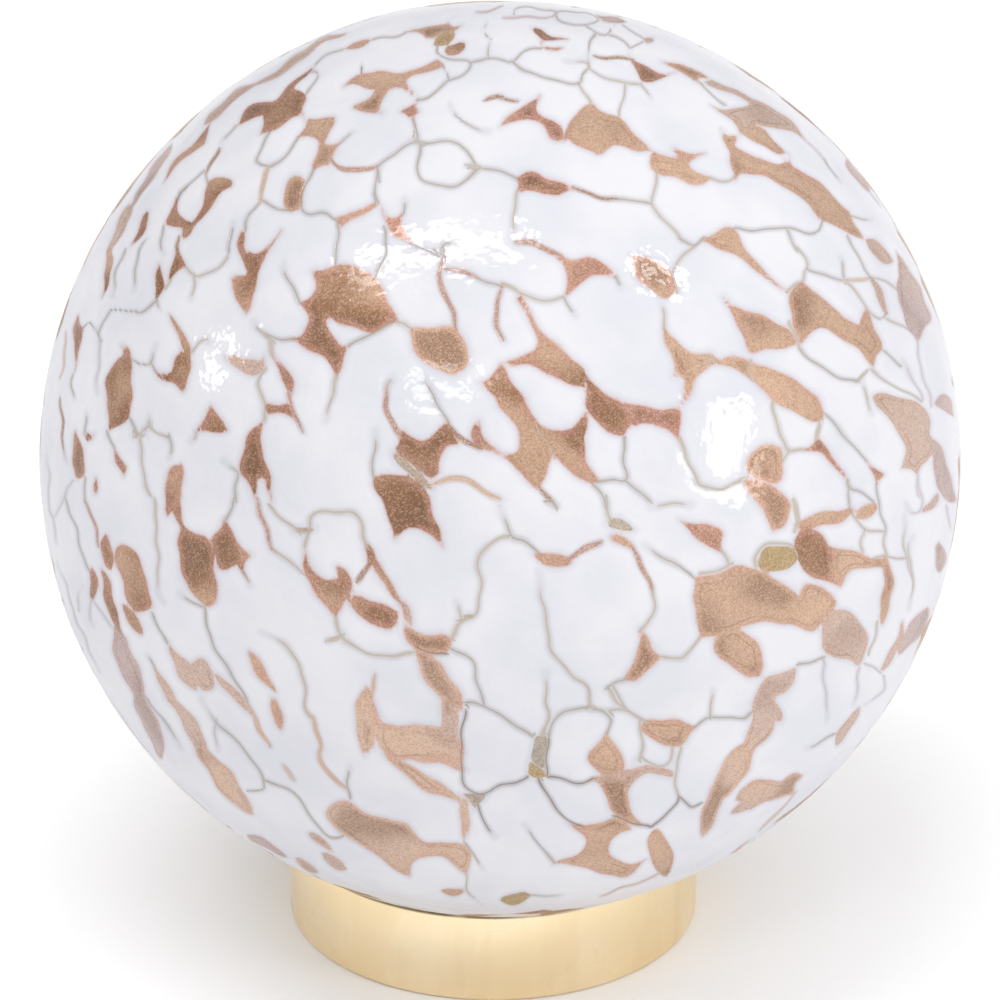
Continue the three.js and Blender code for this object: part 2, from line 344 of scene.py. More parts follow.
# Thin lines where two white chips meet: greatest width, then points, in pixels of the photograph
SEAMS = {
    "grey": [
        (3, 150, 615, 158, 629, 168, 643), (3, 202, 610, 208, 630, 215, 652, 232, 675, 247, 702),
        (2, 180, 595, 190, 603, 201, 609), (3, 233, 498, 232, 510, 227, 520), (2, 244, 572, 248, 585),
        (2, 147, 698, 165, 725, 181, 752),
        (3, 201, 697, 211, 720, 232, 738, 262, 776, 264, 790, 248, 792),
        (3, 464, 704, 486, 707, 507, 719, 532, 739), (2, 450, 650, 474, 663, 477, 687, 485, 706),
        (3, 500, 510, 511, 535, 525, 542, 538, 553), (3, 607, 689, 618, 685, 628, 681),
        (3, 587, 711, 600, 710, 610, 720, 609, 732), (3, 695, 728, 710, 718, 740, 720, 752, 711),
        (3, 797, 665, 812, 663, 824, 658), (3, 265, 780, 286, 788, 303, 808, 326, 836, 343, 836),
        (3, 645, 545, 668, 560, 693, 577), (3, 525, 825, 540, 847, 556, 864),
        (2, 466, 845, 473, 858, 483, 871), (3, 807, 748, 824, 742, 838, 735),
        (3, 545, 500, 551, 503, 556, 509), (3, 350, 768, 346, 785, 349, 801),
        (3, 161, 224, 160, 238, 163, 252), (3, 204, 171, 208, 184), (2, 203, 171, 190, 180, 179, 194),
        (2, 237, 124, 230, 131, 221, 139), (2, 145, 238, 139, 252), (3, 234, 224, 231, 236, 227, 252),
        (2, 369, 40, 386, 37, 406, 31), (3, 443, 64, 445, 72, 448, 79),
        (3, 437, 44, 438, 52, 446, 57, 461, 57, 471, 62, 464, 71, 448, 79, 440, 88, 428, 95, 416, 98),
        (3, 376, 167, 385, 158, 400, 148, 419, 141), (3, 413, 118, 417, 132, 419, 142),
        (3, 419, 141, 450, 141, 464, 149, 480, 167),
        (3, 419, 142, 418, 160, 420, 178, 433, 183, 452, 185, 466, 180, 480, 166),
        (3, 479, 166, 492, 167, 516, 178), (2, 450, 104, 460, 118, 470, 125, 488, 130),
        (3, 471, 62, 480, 60, 489, 57, 501, 58, 512, 59, 523, 51, 541, 46),
        (2, 490, 39, 489, 48, 489, 57), (2, 486, 19, 484, 29, 491, 37), (2, 313, 63, 328, 54, 344, 47),
        (2, 302, 71, 312, 69, 317, 76, 306, 92), (3, 268, 131, 260, 150, 257, 160, 263, 166, 271, 167),
        (3, 271, 167, 285, 155, 298, 138), (2, 341, 141, 354, 133), (2, 377, 166, 379, 182),
        (3, 313, 169, 302, 186, 301, 205, 309, 212, 325, 214, 337, 221),
        (3, 259, 200, 274, 208, 290, 210), (3, 260, 200, 249, 212, 245, 229),
        (2, 336, 226, 337, 245, 335, 264), (2, 403, 199, 402, 213), (2, 375, 203, 375, 192),
        (3, 384, 228, 386, 240, 387, 252, 380, 263, 373, 277),
        (3, 513, 13, 516, 7, 535, 6, 551, 8, 557, 12, 552, 14),
        (3, 555, 11, 575, 11, 590, 12, 599, 17, 585, 24, 562, 21, 555, 12),
        (3, 585, 24, 598, 31, 607, 32, 613, 26), (4, 596, 31, 588, 42, 588, 55, 590, 68),
        (3, 607, 32, 622, 41, 630, 48, 632, 58), (2, 621, 25, 632, 31, 643, 37), (2, 630, 48, 643, 41),
        (3, 512, 59, 522, 69, 535, 74, 549, 77, 580, 82, 583, 75, 590, 68),
        (2, 702, 82, 712, 92, 726, 103), (3, 651, 202, 634, 200, 617, 200),
        (3, 680, 240, 695, 245, 703, 237), (3, 734, 229, 770, 228, 790, 228, 817, 231, 826, 220),
        (2, 788, 229, 795, 243, 799, 252), (2, 848, 236, 855, 250, 868, 268, 874, 276),
        (2, 826, 160, 834, 170, 841, 180), (2, 126, 248, 115, 272, 111, 297),
        (3, 140, 248, 135, 268, 131, 290), (3, 157, 300, 148, 309, 140, 312, 132, 309, 109, 311),
        (2, 156, 300, 159, 309), (2, 109, 311, 104, 322, 98, 333),
        (3, 99, 341, 97, 331, 90, 322, 81, 329), (3, 72, 374, 71, 385, 74, 400),
        (2, 131, 358, 140, 363, 151, 362, 154, 345), (2, 151, 362, 155, 370),
        (3, 129, 418, 135, 428, 140, 438), (2, 168, 434, 169, 446, 169, 458),
        (3, 108, 430, 110, 438, 113, 448), (2, 82, 476, 84, 488, 84, 502),
        (2, 85, 414, 84, 424, 84, 434), (2, 224, 459, 230, 466, 236, 473, 234, 485, 235, 500),
        (3, 347, 345, 360, 339, 375, 331, 389, 322), (3, 283, 265, 290, 285, 299, 304),
        (3, 252, 321, 262, 333, 276, 338, 292, 338), (3, 476, 275, 488, 282, 502, 288),
        (2, 375, 430, 373, 455, 373, 476), (2, 432, 249, 440, 256, 444, 249),
        (3, 616, 275, 619, 281, 621, 287), (2, 566, 298, 570, 306, 574, 314),
        (3, 625, 437, 625, 460, 625, 480, 611, 481, 596, 482), (2, 625, 480, 639, 490, 652, 503),
        (3, 592, 484, 600, 492, 606, 506), (3, 801, 346, 812, 360, 825, 371, 840, 377, 861, 380),
        (2, 884, 350, 893, 356, 902, 364), (3, 847, 481, 852, 490, 865, 494, 876, 503),
        (2, 879, 485, 880, 502), (2, 826, 415, 840, 430, 855, 447, 868, 460),
        (2, 808, 268, 825, 273, 844, 280), (2, 840, 257, 845, 269, 847, 281),
        (2, 420, 374, 430, 390, 440, 410, 448, 426), (2, 851, 488, 850, 497, 851, 506, 853, 514),
        (2, 880, 502, 881, 514, 885, 527), (2, 64, 499, 70, 517, 75, 534, 80, 551, 85, 565, 89, 575),
        (2, 142, 434, 147, 429, 150, 417), (2, 148, 656, 151, 664, 154, 672),
        (3, 548, 737, 552, 722, 562, 714, 575, 711, 590, 709), (2, 377, 167, 376, 185, 377, 203),
        (2, 413, 243, 426, 249, 437, 257), (2, 437, 257, 443, 246, 449, 242, 455, 245),
    ],
    "beige": [
        (3, 916, 538, 911, 544, 909, 555, 912, 570, 915, 590), (3, 879, 622, 875, 636, 870, 655),
        (3, 643, 731, 643, 745, 641, 757, 633, 763),
        (3, 671, 748, 671, 760, 660, 766, 645, 763, 640, 756),
        (3, 152, 500, 156, 530, 157, 585, 163, 601), (4, 270, 507, 281, 519, 296, 530),
        (4, 306, 545, 308, 530, 311, 516, 337, 511, 351, 513, 361, 522, 363, 535, 367, 548),
        (3, 272, 550, 286, 560, 301, 572), (4, 412, 655, 390, 656, 365, 653, 341, 638, 334, 618),
        (4, 450, 640, 462, 622, 477, 613, 480, 587, 478, 562, 487, 548, 500, 538, 511, 536),
        (2, 457, 602, 460, 612, 463, 620), (4, 260, 634, 282, 643, 300, 670, 305, 707, 313, 720),
        (4, 539, 571, 541, 588, 546, 625, 555, 658, 572, 677, 588, 687, 591, 708),
        (4, 605, 498, 609, 512, 613, 524), (3, 652, 508, 670, 505, 692, 503),
        (3, 652, 590, 656, 608, 650, 624, 641, 632), (4, 722, 550, 729, 566),
        (3, 700, 574, 716, 571, 731, 566), (4, 660, 658, 680, 659, 690, 651, 699, 639),
        (5, 610, 690, 617, 705, 628, 713, 646, 723), (3, 712, 692, 713, 705, 711, 718),
        (5, 545, 672, 547, 700, 549, 712, 545, 726, 540, 738),
        (4, 757, 566, 754, 556, 766, 546, 790, 545, 797, 556), (3, 853, 513, 864, 530, 885, 533),
        (3, 864, 530, 862, 542, 864, 551), (3, 885, 526, 886, 545, 888, 557),
        (3, 875, 559, 890, 558, 907, 557), (3, 905, 515, 907, 557, 915, 590, 909, 612),
        (3, 680, 750, 677, 775, 678, 797), (3, 525, 900, 545, 897, 562, 897),
        (2, 465, 877, 468, 892, 481, 906), (3, 565, 59, 580, 61, 589, 64, 593, 71, 620, 80, 640, 84),
        (3, 580, 82, 583, 92, 590, 103), (3, 625, 84, 622, 100, 621, 114),
        (3, 640, 84, 645, 90, 651, 98), (4, 708, 178, 720, 181, 730, 180, 735, 174),
        (3, 657, 174, 654, 190, 651, 202, 660, 212, 669, 222, 680, 240),
        (3, 518, 190, 515, 210, 511, 234), (3, 183, 266, 192, 275, 200, 276, 215, 267, 225, 256),
        (3, 192, 275, 193, 285, 191, 298), (3, 193, 350, 197, 343, 204, 340, 209, 343),
        (3, 140, 437, 139, 450, 142, 470, 149, 497), (3, 140, 437, 147, 428, 155, 431, 168, 436),
        (2, 195, 431, 194, 438, 189, 442), (4, 162, 288, 168, 278),
        (4, 263, 370, 258, 381, 261, 395, 264, 405, 261, 422),
        (4, 337, 375, 332, 390, 328, 405, 325, 421), (3, 396, 321, 404, 325, 410, 331),
        (3, 392, 377, 387, 384, 385, 393), (3, 566, 297, 555, 301, 540, 299, 525, 294, 509, 286),
        (2, 537, 426, 545, 440, 553, 458),
        (4, 682, 440, 687, 460, 695, 475, 703, 487, 720, 490, 735, 484, 748, 478),
        (3, 661, 303, 665, 320, 667, 330),
        (3, 676, 292, 675, 273, 678, 262, 685, 254, 693, 248, 703, 238),
        (4, 790, 290, 797, 285, 805, 281, 806, 270, 808, 268, 806, 258, 799, 247),
        (4, 789, 321, 796, 334, 802, 348), (4, 866, 381, 868, 395, 872, 413),
        (3, 872, 369, 885, 380, 900, 387, 922, 401),
        (4, 774, 402, 778, 425, 783, 440, 790, 452, 806, 450), (3, 785, 460, 790, 452),
        (3, 753, 378, 748, 369, 753, 359), (3, 873, 275, 885, 280, 897, 289),
        (3, 888, 312, 882, 318, 870, 311, 862, 300, 848, 282), (2, 888, 317, 905, 325, 913, 333),
        (3, 852, 214, 862, 217, 874, 219), (5, 590, 707, 608, 711, 627, 713, 640, 720, 650, 724),
        (3, 614, 689, 619, 700, 626, 712), (3, 640, 720, 643, 740, 640, 762),
    ],
    "lilac": [
        (2, 906, 504, 910, 513, 916, 515, 921, 511, 923, 496, 920, 478),
        (3, 946, 505, 950, 516, 953, 530), (2, 886, 676, 884, 690, 876, 699, 866, 706),
        (2, 62, 446, 64, 455, 66, 463), (2, 47, 455, 47, 477, 48, 503, 53, 519),
        (3, 71, 478, 66, 489, 63, 500, 57, 514, 53, 519), (2, 53, 519, 52, 530, 55, 545),
        (2, 80, 588, 77, 595, 78, 612), (2, 91, 602, 89, 616, 92, 628),
        (2, 94, 604, 103, 616, 113, 632), (4, 56, 560, 66, 592, 75, 617, 85, 645, 101, 674),
        (3, 824, 662, 826, 690, 827, 724), (3, 861, 670, 858, 688, 854, 706),
        (3, 867, 665, 876, 668, 883, 674), (3, 214, 720, 215, 735, 218, 750),
        (2, 98, 340, 98, 365, 97, 392), (2, 807, 141, 816, 151, 827, 161),
        (3, 917, 342, 922, 365, 928, 390, 933, 407), (2, 904, 358, 915, 380, 923, 400),
        (2, 919, 474, 920, 485, 920, 498), (3, 867, 188, 874, 197, 882, 208),
    ],
    "dark": [
        (2, 466, 712, 462, 735, 460, 755, 462, 774, 467, 788, 476, 794, 488, 793, 501, 788, 514, 783,
         528, 778), (2, 477, 806, 485, 823, 497, 838), (2, 548, 738, 548, 756, 547, 777),
        (3, 548, 778, 566, 780, 583, 784, 594, 780),
        (3, 538, 781, 547, 797, 557, 810, 567, 820, 581, 826), (3, 614, 818, 632, 823, 651, 829),
        (3, 651, 829, 664, 818, 676, 804, 678, 797), (2, 678, 797, 685, 803, 692, 808, 701, 806),
        (2, 416, 648, 430, 652, 446, 655), (3, 188, 183, 181, 193, 175, 203), (2, 361, 62, 361, 71),
    ],
}


# Reading the pattern onto the globe
REACH = 40.0          # pixels past which a gap or a seam no longer counts
TINT_SPREAD = 3.0     # pixels over which one gap's colour gives way to the next
GAP_POINT = 0.45      # how far a gap's pointed ends run on, in widths
GAP_TAPER = 2.2
GAP_FULLNESS = 0.7
JOIN_REACH = 5.0      # pixels within which a seam's end counts as joined
SEAM_MIDDLE = 0.75    # a seam's width in its middle, and what a joined end adds
SEAM_FLARE = 0.6
SEAM_RUN_ON = (1.0, 3.0)   # pixels past its end over which a seam fades out
SEAM_LAYERS = 3       # seams that touch are kept in different layers, so that each stays a clean line
THIN_GAP = 6          # a gap no wider than this is drawn as a seam of its colour, this much fuller
THIN_GAP_FULLNESS = 1.6
POINTED = 0.2         # a corner that turns further than this stays sharp
SHOWN_TO = 0.17       # how squarely the glass faces the camera where the photograph's own pattern ends
COPY_REACH = 6.0      # millimetres past its border over which a copy of the pattern dies away
SEAM_FADE = 3.0
STRETCH_LIMIT = 0.1   # distances seen at a slant are lengthened down to this slant, by this power
STRETCH_POWER = 0.8
FAR = 1e6
DEEPEST = -12.0       # pixels inside a gap past which its colour pulls no harder
LONG_WAVE = 1.2       # heights, in pixels, of the waves in a drawn outline
SHORT_WAVE = 0.7
JOINED_FLARE = 0.3    # shares of a seam's way over which a joined end narrows and a free end fades
FREE_FADE = 0.45
AT_END = 1e-6
OUTLINE_STEPS = 4


def photo_places(points):
    """Where points on the globe fall in the photograph, across and down."""
    away = points - CAMERA_PLACE
    depth = away @ VIEW_FORWARD
    across = PICTURE / 2 + FOCAL_PIXELS * away[:, 0] / depth
    down = PICTURE / 2 - FOCAL_PIXELS * (away @ VIEW_UP) / depth
    return across, down


def wobble(across, down):
    """Small waves that keep drawn outlines from looking ruled."""
    sideways = LONG_WAVE * np.sin(down / 9.0 + across / 31.0) + SHORT_WAVE * np.sin(down / 4.3 + 1.0)
    downward = LONG_WAVE * np.sin(across / 8.0 - down / 27.0) + SHORT_WAVE * np.sin(across / 4.7 + 2.0)
    return across + sideways, down + downward


def soft_step(low, high, values):
    share = np.clip((values - low) / (high - low), 0.0, 1.0)
    return share * share * (3.0 - 2.0 * share)


def soft_curve(knots, steps=5):
    """Points along a soft curve that passes through the knots."""
    run = np.vstack([2 * knots[0] - knots[1], knots, 2 * knots[-1] - knots[-2]])
    share = np.linspace(0.0, 1.0, steps, endpoint=False)[:, None]
    pieces = []
    for first in range(len(knots) - 1):
        before, start, end, after = run[first:first + 4]
        pieces.append(0.5 * (2 * start + (end - before) * share
                             + (2 * before - 5 * start + 4 * end - after) * share ** 2
                             + (3 * start - before - 3 * end + after) * share ** 3))
    pieces.append(knots[-1:])
    return np.vstack(pieces)


def nearest_on_curve(across, down, curve):
    """Distance to a curve, the side of it, and the share of the way along it."""
    best = np.full(across.shape, FAR)
    side = np.ones(across.shape)
    share = np.zeros(across.shape)
    lengths = np.linalg.norm(np.diff(curve, axis=0), axis=1)
    before = 0.0
    for start, end, length in zip(curve[:-1], curve[1:], lengths):
        step = end - start
        from_x = across - start[0]
        from_y = down - start[1]
        along = np.clip((from_x * step[0] + from_y * step[1]) / length ** 2, 0.0, 1.0)
        gap = np.hypot(from_x - along * step[0], from_y - along * step[1])
        nearer = gap < best
        turn = np.where(step[0] * from_y - step[1] * from_x >= 0.0, 1.0, -1.0)
        best = np.where(nearer, gap, best)
        side = np.where(nearer, turn, side)
        share = np.where(nearer, (before + along * length) / lengths.sum(), share)
        before += length
    return best, side, share


def gap_curve(width, knots):
    """A gap's middle, run on a little at its pointed ends."""
    first = knots[0] - knots[1]
    last = knots[-1] - knots[-2]
    longer = knots.copy()
    longer[0] += first / np.linalg.norm(first) * width * GAP_POINT
    longer[-1] += last / np.linalg.norm(last) * width * GAP_POINT
    return soft_curve(longer)


def gap_fullness(share):
    """How much of its width a gap has along its way."""
    middle = np.clip(np.abs(2.0 * share - 1.0), 0.0, 1.0)
    return (1.0 - middle ** GAP_TAPER) ** GAP_FULLNESS


def gap_distance(across, down, width, knots):
    """Signed distance to a gap that is widest in its middle and pointed at its ends."""
    best, _, share = nearest_on_curve(across, down, gap_curve(width, knots))
    return best - 0.5 * width * gap_fullness(share)


def chip_distance(across, down, width, knots):
    """Signed distance to a chip with round ends."""
    best, _, _ = nearest_on_curve(across, down, knots)
    return best - 0.5 * width


def shape_distance(across, down, corners):
    """Signed distance to a closed outline, negative inside."""
    best = np.full(across.shape, FAR)
    inside = np.zeros(across.shape, dtype=bool)
    for start, end in zip(corners, np.roll(corners, -1, axis=0)):
        step = end - start
        from_x = across - start[0]
        from_y = down - start[1]
        along = np.clip((from_x * step[0] + from_y * step[1]) / (step @ step), 0.0, 1.0)
        best = np.minimum(best, np.hypot(from_x - along * step[0], from_y - along * step[1]))
        spans = (start[1] > down) != (end[1] > down)
        rise = step[1] if step[1] else 1.0
        inside ^= spans & (from_x < step[0] * from_y / rise)
    return np.where(inside, -best, best)


def soft_outline(corners):
    """A closed outline rounded at its blunt corners and left sharp at its points."""
    pieces = []
    before = np.roll(corners, 1, axis=0)
    after = np.roll(corners, -1, axis=0)
    for last, corner, following in zip(before, corners, after):
        arrive = (corner - last) / np.linalg.norm(corner - last)
        leave = (following - corner) / np.linalg.norm(following - corner)
        start = (last + corner) / 2
        end = (corner + following) / 2
        if arrive @ leave < POINTED:
            pieces.append(np.array([start, corner]))
            continue
        share = np.linspace(0.0, 1.0, OUTLINE_STEPS, endpoint=False)[:, None]
        pieces.append((1 - share) ** 2 * start + 2 * share * (1 - share) * corner + share ** 2 * end)
    return np.vstack(pieces)


def near_knots(across, down, knots, shown):
    low = knots.min(axis=0) - REACH
    high = knots.max(axis=0) + REACH
    near = (across > low[0]) & (across < high[0]) & (down > low[1]) & (down < high[1]) & shown
    return np.nonzero(near)[0]


def drawn_gaps(across, down, shown):
    """The copper's signed distance in pixels, and its colour, from the gaps drawn above."""
    edge = np.full(across.shape, REACH)
    colour = np.tile(np.array(TINTS["tan"]) * 1e-6, (len(across), 1))
    weight = np.full(across.shape, 1e-6)

    def lay(tint, knots, distance, width=None):
        near = near_knots(across, down, knots, shown)
        if width is None:
            found = distance(across[near], down[near], knots)
        else:
            found = distance(across[near], down[near], width, knots)
        edge[near] = np.minimum(edge[near], found)
        pull = np.exp(-np.clip(found, DEEPEST, REACH) / TINT_SPREAD)
        colour[near] += pull[:, None] * np.array(TINTS[tint])
        weight[near] += pull

    for tint, gaps in GAPS.items():
        for width, *places in gaps:
            if width > THIN_GAP:
                lay(tint, np.array(places, dtype=float).reshape(-1, 2), gap_distance, width)
    for tint, chips in CHIPS.items():
        for width, *places in chips:
            lay(tint, np.array(places, dtype=float).reshape(-1, 2), chip_distance, width)
    for tint, shapes in SHAPES.items():
        for places in shapes:
            lay(tint, soft_outline(np.array(places, dtype=float).reshape(-1, 2)), shape_distance)
    return edge, colour / weight[:, None]


def seam_curves():
    """Every seam and thin gap: its colour, its width, whether it is a gap, and its curve."""
    curves = []
    for tint, seams in SEAMS.items():
        for width, *places in seams:
            curve = soft_curve(np.array(places, dtype=float).reshape(-1, 2))
            curves.append((TINTS[tint], width, False, curve))
    for tint, gaps in GAPS.items():
        for width, *places in gaps:
            if width <= THIN_GAP:
                curve = gap_curve(width, np.array(places, dtype=float).reshape(-1, 2))
                curves.append((TINTS[tint], width * THIN_GAP_FULLNESS, True, curve))
    return curves


def joined_ends(curves):
    """Whether each seam's two ends run into copper or a seam, and which seams touch which."""
    ends = np.array([curve[[0, -1]] for *_, curve in curves])
    across = ends[:, :, 0].ravel()
    down = ends[:, :, 1].ravel()
    edge, _ = drawn_gaps(across, down, np.ones(len(across), dtype=bool))
    joined = (edge < JOIN_REACH).reshape(-1, 2)
    touching = np.zeros((len(curves), len(curves)), dtype=bool)
    for number, (*_, curve) in enumerate(curves):
        gap, _, _ = nearest_on_curve(across, down, curve)
        touched = (gap < JOIN_REACH).reshape(-1, 2)
        touched[number] = False
        joined |= touched
        touching[number] |= touched.any(axis=1)
        touching[:, number] |= touched.any(axis=1)
    return joined, touching


def seam_layers(touching):
    """A layer for every seam, the one in which it touches the fewest of those laid before it."""
    layers = []
    for number, row in enumerate(touching):
        crowd = np.zeros(SEAM_LAYERS)
        for earlier in np.nonzero(row[:number])[0]:
            crowd[layers[earlier]] += 1
        layers.append(int(crowd.argmin()))
    return layers


def seam_width(share, start_joined, end_joined):
    """A seam's width along its way: wide where it joins, fine between, nothing at a free end."""
    width = np.full(share.shape, SEAM_MIDDLE)
    for joined, along in ((start_joined, share), (end_joined, 1.0 - share)):
        if joined:
            width += SEAM_FLARE * (1.0 - soft_step(0.0, JOINED_FLARE, along))
        else:
            width *= soft_step(0.0, FREE_FADE, along)
    return width


def laid_seams():
    """Every seam with whether its ends are joined and the layer it lies in."""
    curves = seam_curves()
    joined, touching = joined_ends(curves)
    return list(zip(curves, joined, seam_layers(touching)))


def drawn_seams(across, down, shown, seams):
    """The seams' distance, side and half width in each layer, in pixels; and the nearest's colour."""
    gap = np.full((SEAM_LAYERS, len(across)), REACH)
    side = np.ones(gap.shape)
    half = np.zeros(gap.shape)
    colour = np.tile(np.array(TINTS["grey"]), (len(across), 1))
    for (tint, width, is_gap, curve), ends, laid in seams:
        near = near_knots(across, down, curve, shown)
        found, found_side, share = nearest_on_curve(across[near], down[near], curve)
        wide = 0.5 * width * (gap_fullness(share) if is_gap else seam_width(share, *ends))
        past_end = (share < AT_END) | (share > 1.0 - AT_END)
        wide *= np.where(past_end, 1.0 - soft_step(*SEAM_RUN_ON, found), 1.0)
        nearest = found < gap[:, near].min(axis=0)
        colour[near[nearest]] = tint
        nearer = found < gap[laid, near]
        chosen = near[nearer]
        gap[laid, chosen] = found[nearer]
        side[laid, chosen] = found_side[nearer]
        half[laid, chosen] = wide[nearer]
    return gap, side, half, colour


# The sides and the back repeat the drawn pattern. Each copy is the way it faces, as degrees round the
# view and degrees behind its rim, then the degrees it is rolled and whether it is flipped.
COPIES = ((25, 24, 70, 1), (115, 24, 200, -1), (205, 24, 310, 1), (295, 24, 140, -1), (0, 90, 45, -1))


def copy_turns():
    """The way the drawn pattern and each copy face, and the turn that brings each copy to the front."""
    front = -VIEW_FORWARD
    right = np.array([1.0, 0.0, 0.0])
    turns = [(front, np.eye(3))]
    for around, behind, roll, flip in COPIES:
        around, behind, roll = np.radians([around, behind, roll])
        rim = math.cos(around) * right + math.sin(around) * VIEW_UP
        along = math.cos(around) * VIEW_UP - math.sin(around) * right
        facing = math.cos(behind) * rim - math.sin(behind) * front
        across = np.cross(facing, along)
        side = math.cos(roll) * along + math.sin(roll) * across
        up = math.cos(roll) * across - math.sin(roll) * along
        turn = np.outer(front, facing) + np.outer(VIEW_UP, up) + flip * np.outer(right, side)
        turns.append((facing, turn))
    return turns


def past_borders(squarely):
    """How far each point lies past the border of the drawn pattern and of each copy, in millimetres."""
    front, copies = squarely[0], squarely[1:]
    past = [SHOWN_TO - front]
    for number, copy in enumerate(copies):
        others = np.delete(copies, number, axis=0).max(axis=0)
        past.append(np.maximum(front - SHOWN_TO, (others - copy) / math.sqrt(2.0)))
    return np.maximum(np.array(past), 0.0) * GLOBE_HALF[0]


def whole_pattern(from_centre):
    """Copper's distance and colour, and the seams' in their layers, all round the ball, in mm."""
    count = len(from_centre)
    edge = np.full(count, REACH)
    tint = np.zeros((count, 4))
    gap = np.full((SEAM_LAYERS, count), REACH)
    side = np.ones(gap.shape)
    half = np.zeros(gap.shape)
    seam_tint = np.tile(np.array(TINTS["grey"]), (count, 1))

    seams = laid_seams()
    turns = copy_turns()
    directions = from_centre / np.linalg.norm(from_centre, axis=1)[:, None]
    squarely = np.array([directions @ facing for facing, _ in turns])
    for (_, turn), square, past in zip(turns, squarely, past_borders(squarely)):
        shown = past < COPY_REACH
        across, down = wobble(*photo_places(GLOBE_CENTRE + from_centre @ turn.T))
        scale = PIXELS_PER_MM * np.clip(square, STRETCH_LIMIT, 1.0) ** STRETCH_POWER
        copy_edge, copy_tint = drawn_gaps(across, down, shown)
        copy_edge = copy_edge / scale + past
        nearer = shown & (copy_edge < edge)
        edge = np.where(nearer, copy_edge, edge)
        tint = np.where(nearer[:, None], copy_tint, tint)

        copy_gap, copy_side, copy_half, copy_seam_tint = drawn_seams(across, down, shown, seams)
        copy_gap = copy_gap / scale + past
        copy_half = copy_half / PIXELS_PER_MM * (1.0 - soft_step(0.0, SEAM_FADE, past))
        nearest = shown & (copy_gap.min(axis=0) < gap.min(axis=0))
        seam_tint = np.where(nearest[:, None], copy_seam_tint, seam_tint)
        nearer = shown & (copy_gap < gap)
        gap = np.where(nearer, copy_gap, gap)
        side = np.where(nearer, copy_side, side)
        half = np.where(nearer, copy_half, half)
    return edge, tint, gap, side, half, seam_tint


# The low relief of the chips, in millimetres
CHIP_DOME = 0.15
CHIP_SHOULDER = 1.0
COPPER_DOME = 0.08
BLOWN_WAVE = 0.10
SEAT_CALM = 4.0


def glass_pattern(points):
    """All that the glass's material and relief need at each point of the globe."""
    from_centre = points - GLOBE_CENTRE
    outward = from_centre / GLOBE_HALF ** 2
    outward /= np.linalg.norm(outward, axis=1)[:, None]
    edge, tint, gap, side, half, seam_tint = whole_pattern(from_centre)
    nearest_gap = gap.min(axis=0)

    inside_chip = np.minimum(np.maximum(edge, 0.0), nearest_gap)
    white_rise = CHIP_DOME * (1.0 - np.exp(-inside_chip / CHIP_SHOULDER))
    copper_rise = COPPER_DOME * (1.0 - np.exp(np.minimum(edge, 0.0) / CHIP_SHOULDER))
    rise = np.where(edge > 0.0, white_rise, copper_rise)
    wave = np.sin(from_centre[:, 0] / 7.3 + 1.1 * np.sin(from_centre[:, 2] / 9.1))
    wave *= np.sin(from_centre[:, 2] / 6.7 + 0.9 * np.sin(from_centre[:, 1] / 8.3))
    rise += BLOWN_WAVE * wave - CHIP_DOME - BLOWN_WAVE
    rise *= soft_step(SEAT_HEIGHT, SEAT_HEIGHT + SEAT_CALM, points[:, 2])
    numbers = {"edge": edge, "nearest_seam": nearest_gap}
    for number in range(SEAM_LAYERS):
        numbers[f"seam_gap_{number}"] = gap[number]
        numbers[f"seam_side_{number}"] = side[number] * gap[number]
        numbers[f"seam_half_{number}"] = half[number]
    colours = {"tint": tint, "seam_tint": seam_tint}
    return points + rise[:, None] * outward, numbers, colours


# Building the globe
GLOBE_CUTS = 124
FRONT_CROWDING = 0.22  # how much closer the mesh's points stand on the side that the photograph shows
INNER_STEPS = 18
RING_SLACK = 0.02      # how near a point has to be to count as on a plane or a ring
OUTSIDE_FROM = 0.995   # share of the globe's radius past which a point is on its outside
SEAT_SLACK = 0.05


def cast_to_globe(places):
    """The points of a cut cube on the globe's outside, closer together towards the camera."""
    places = np.tan(places * math.pi / 4)
    places /= np.linalg.norm(places, axis=1)[:, None]
    front = -VIEW_FORWARD
    along = (places @ front)[:, None]
    across = places - along * front
    keep = math.sqrt(1.0 - FRONT_CROWDING ** 2)
    crowded = ((along + FRONT_CROWDING) * front + keep * across) / (1.0 + FRONT_CROWDING * along)
    return GLOBE_CENTRE + GLOBE_HALF * crowded


def drawn_out(shape, edges, radius, height):
    """Extrudes a ring of edges to a new ring of the given radius and height, and returns its edges."""
    grown = bmesh.ops.extrude_edge_only(shape, edges=edges)["geom"]
    for vert in [item for item in grown if isinstance(item, bmesh.types.BMVert)]:
        arm = Vector((vert.co.x - GLOBE_CENTRE[0], vert.co.y - GLOBE_CENTRE[1], 0.0)).normalized() * radius
        vert.co = Vector((GLOBE_CENTRE[0] + arm.x, GLOBE_CENTRE[1] + arm.y, height))
    return [item for item in grown if isinstance(item, bmesh.types.BMEdge) and item.is_boundary]


